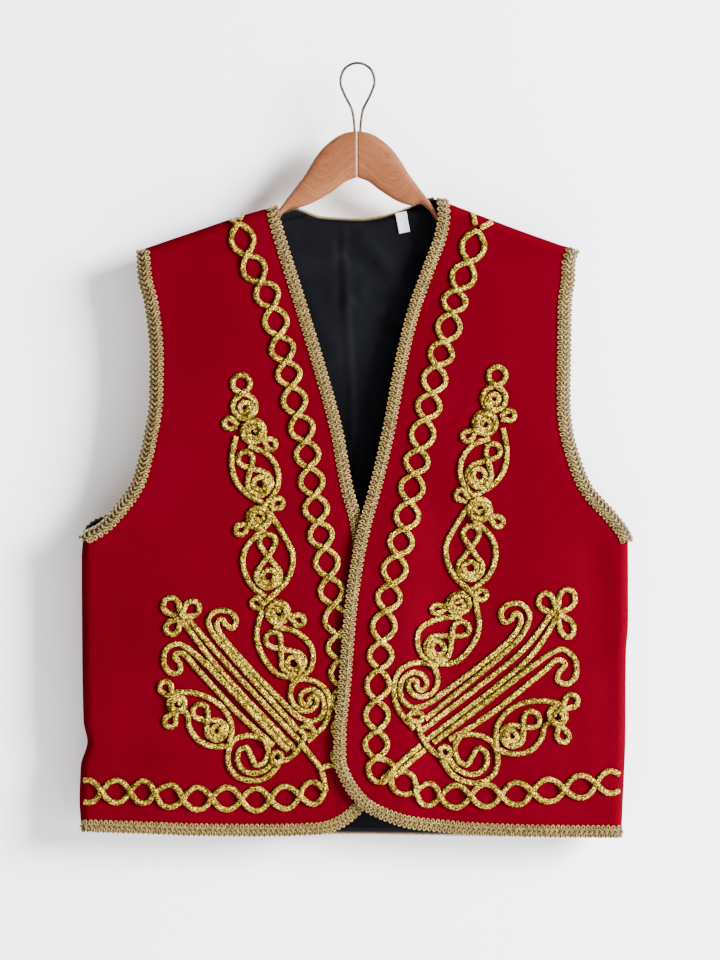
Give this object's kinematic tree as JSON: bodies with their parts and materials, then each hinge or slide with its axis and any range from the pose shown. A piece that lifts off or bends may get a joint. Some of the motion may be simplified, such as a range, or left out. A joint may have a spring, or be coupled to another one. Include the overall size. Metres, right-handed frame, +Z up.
{
  "type": "folk vest on a coat hanger",
  "caption": "Sleeveless open-front folk vest with gimp braid edges and couched gold cord, hung flat on a wooden coat hanger with a wire loop.",
  "frame": {"origin": "inner top of the hanger's wire loop, where a hook holds it", "axes": "+Z up, +X to the right as seen from the front, the vest's front faces -Y"},
  "size_m": [0.4998, 0.0333, 0.71],
  "materials": {
    "red_cloth": "matte fine cloth",
    "black_satin": "satin lining",
    "gimp_braid": "antique gold gimp",
    "gold_cord": "metallic lurex cord",
    "beech_wood": "clear satin varnish",
    "iron_wire": "dark browned wire",
    "white_tape": "woven tape"
  },
  "bodies": {
    "root": {"back": "red_cloth", "back_lining": "black_satin", "braid_armhole_left_back": "gimp_braid", "braid_armhole_left_front": "gimp_braid", "braid_armhole_right_back": "gimp_braid", "braid_armhole_right_front": "gimp_braid", "braid_back_hem": "gimp_braid", "braid_back_neck": "gimp_braid", "braid_front_left": "gimp_braid", "braid_front_right": "gimp_braid", "cordwork_left": "gold_cord", "cordwork_right": "gold_cord", "front_left": "red_cloth", "front_right": "red_cloth", "hanger_arm_left": "beech_wood", "hanger_arm_right": "beech_wood", "hanger_loop": "iron_wire", "label": "white_tape"}
  },
  "joints": []
}
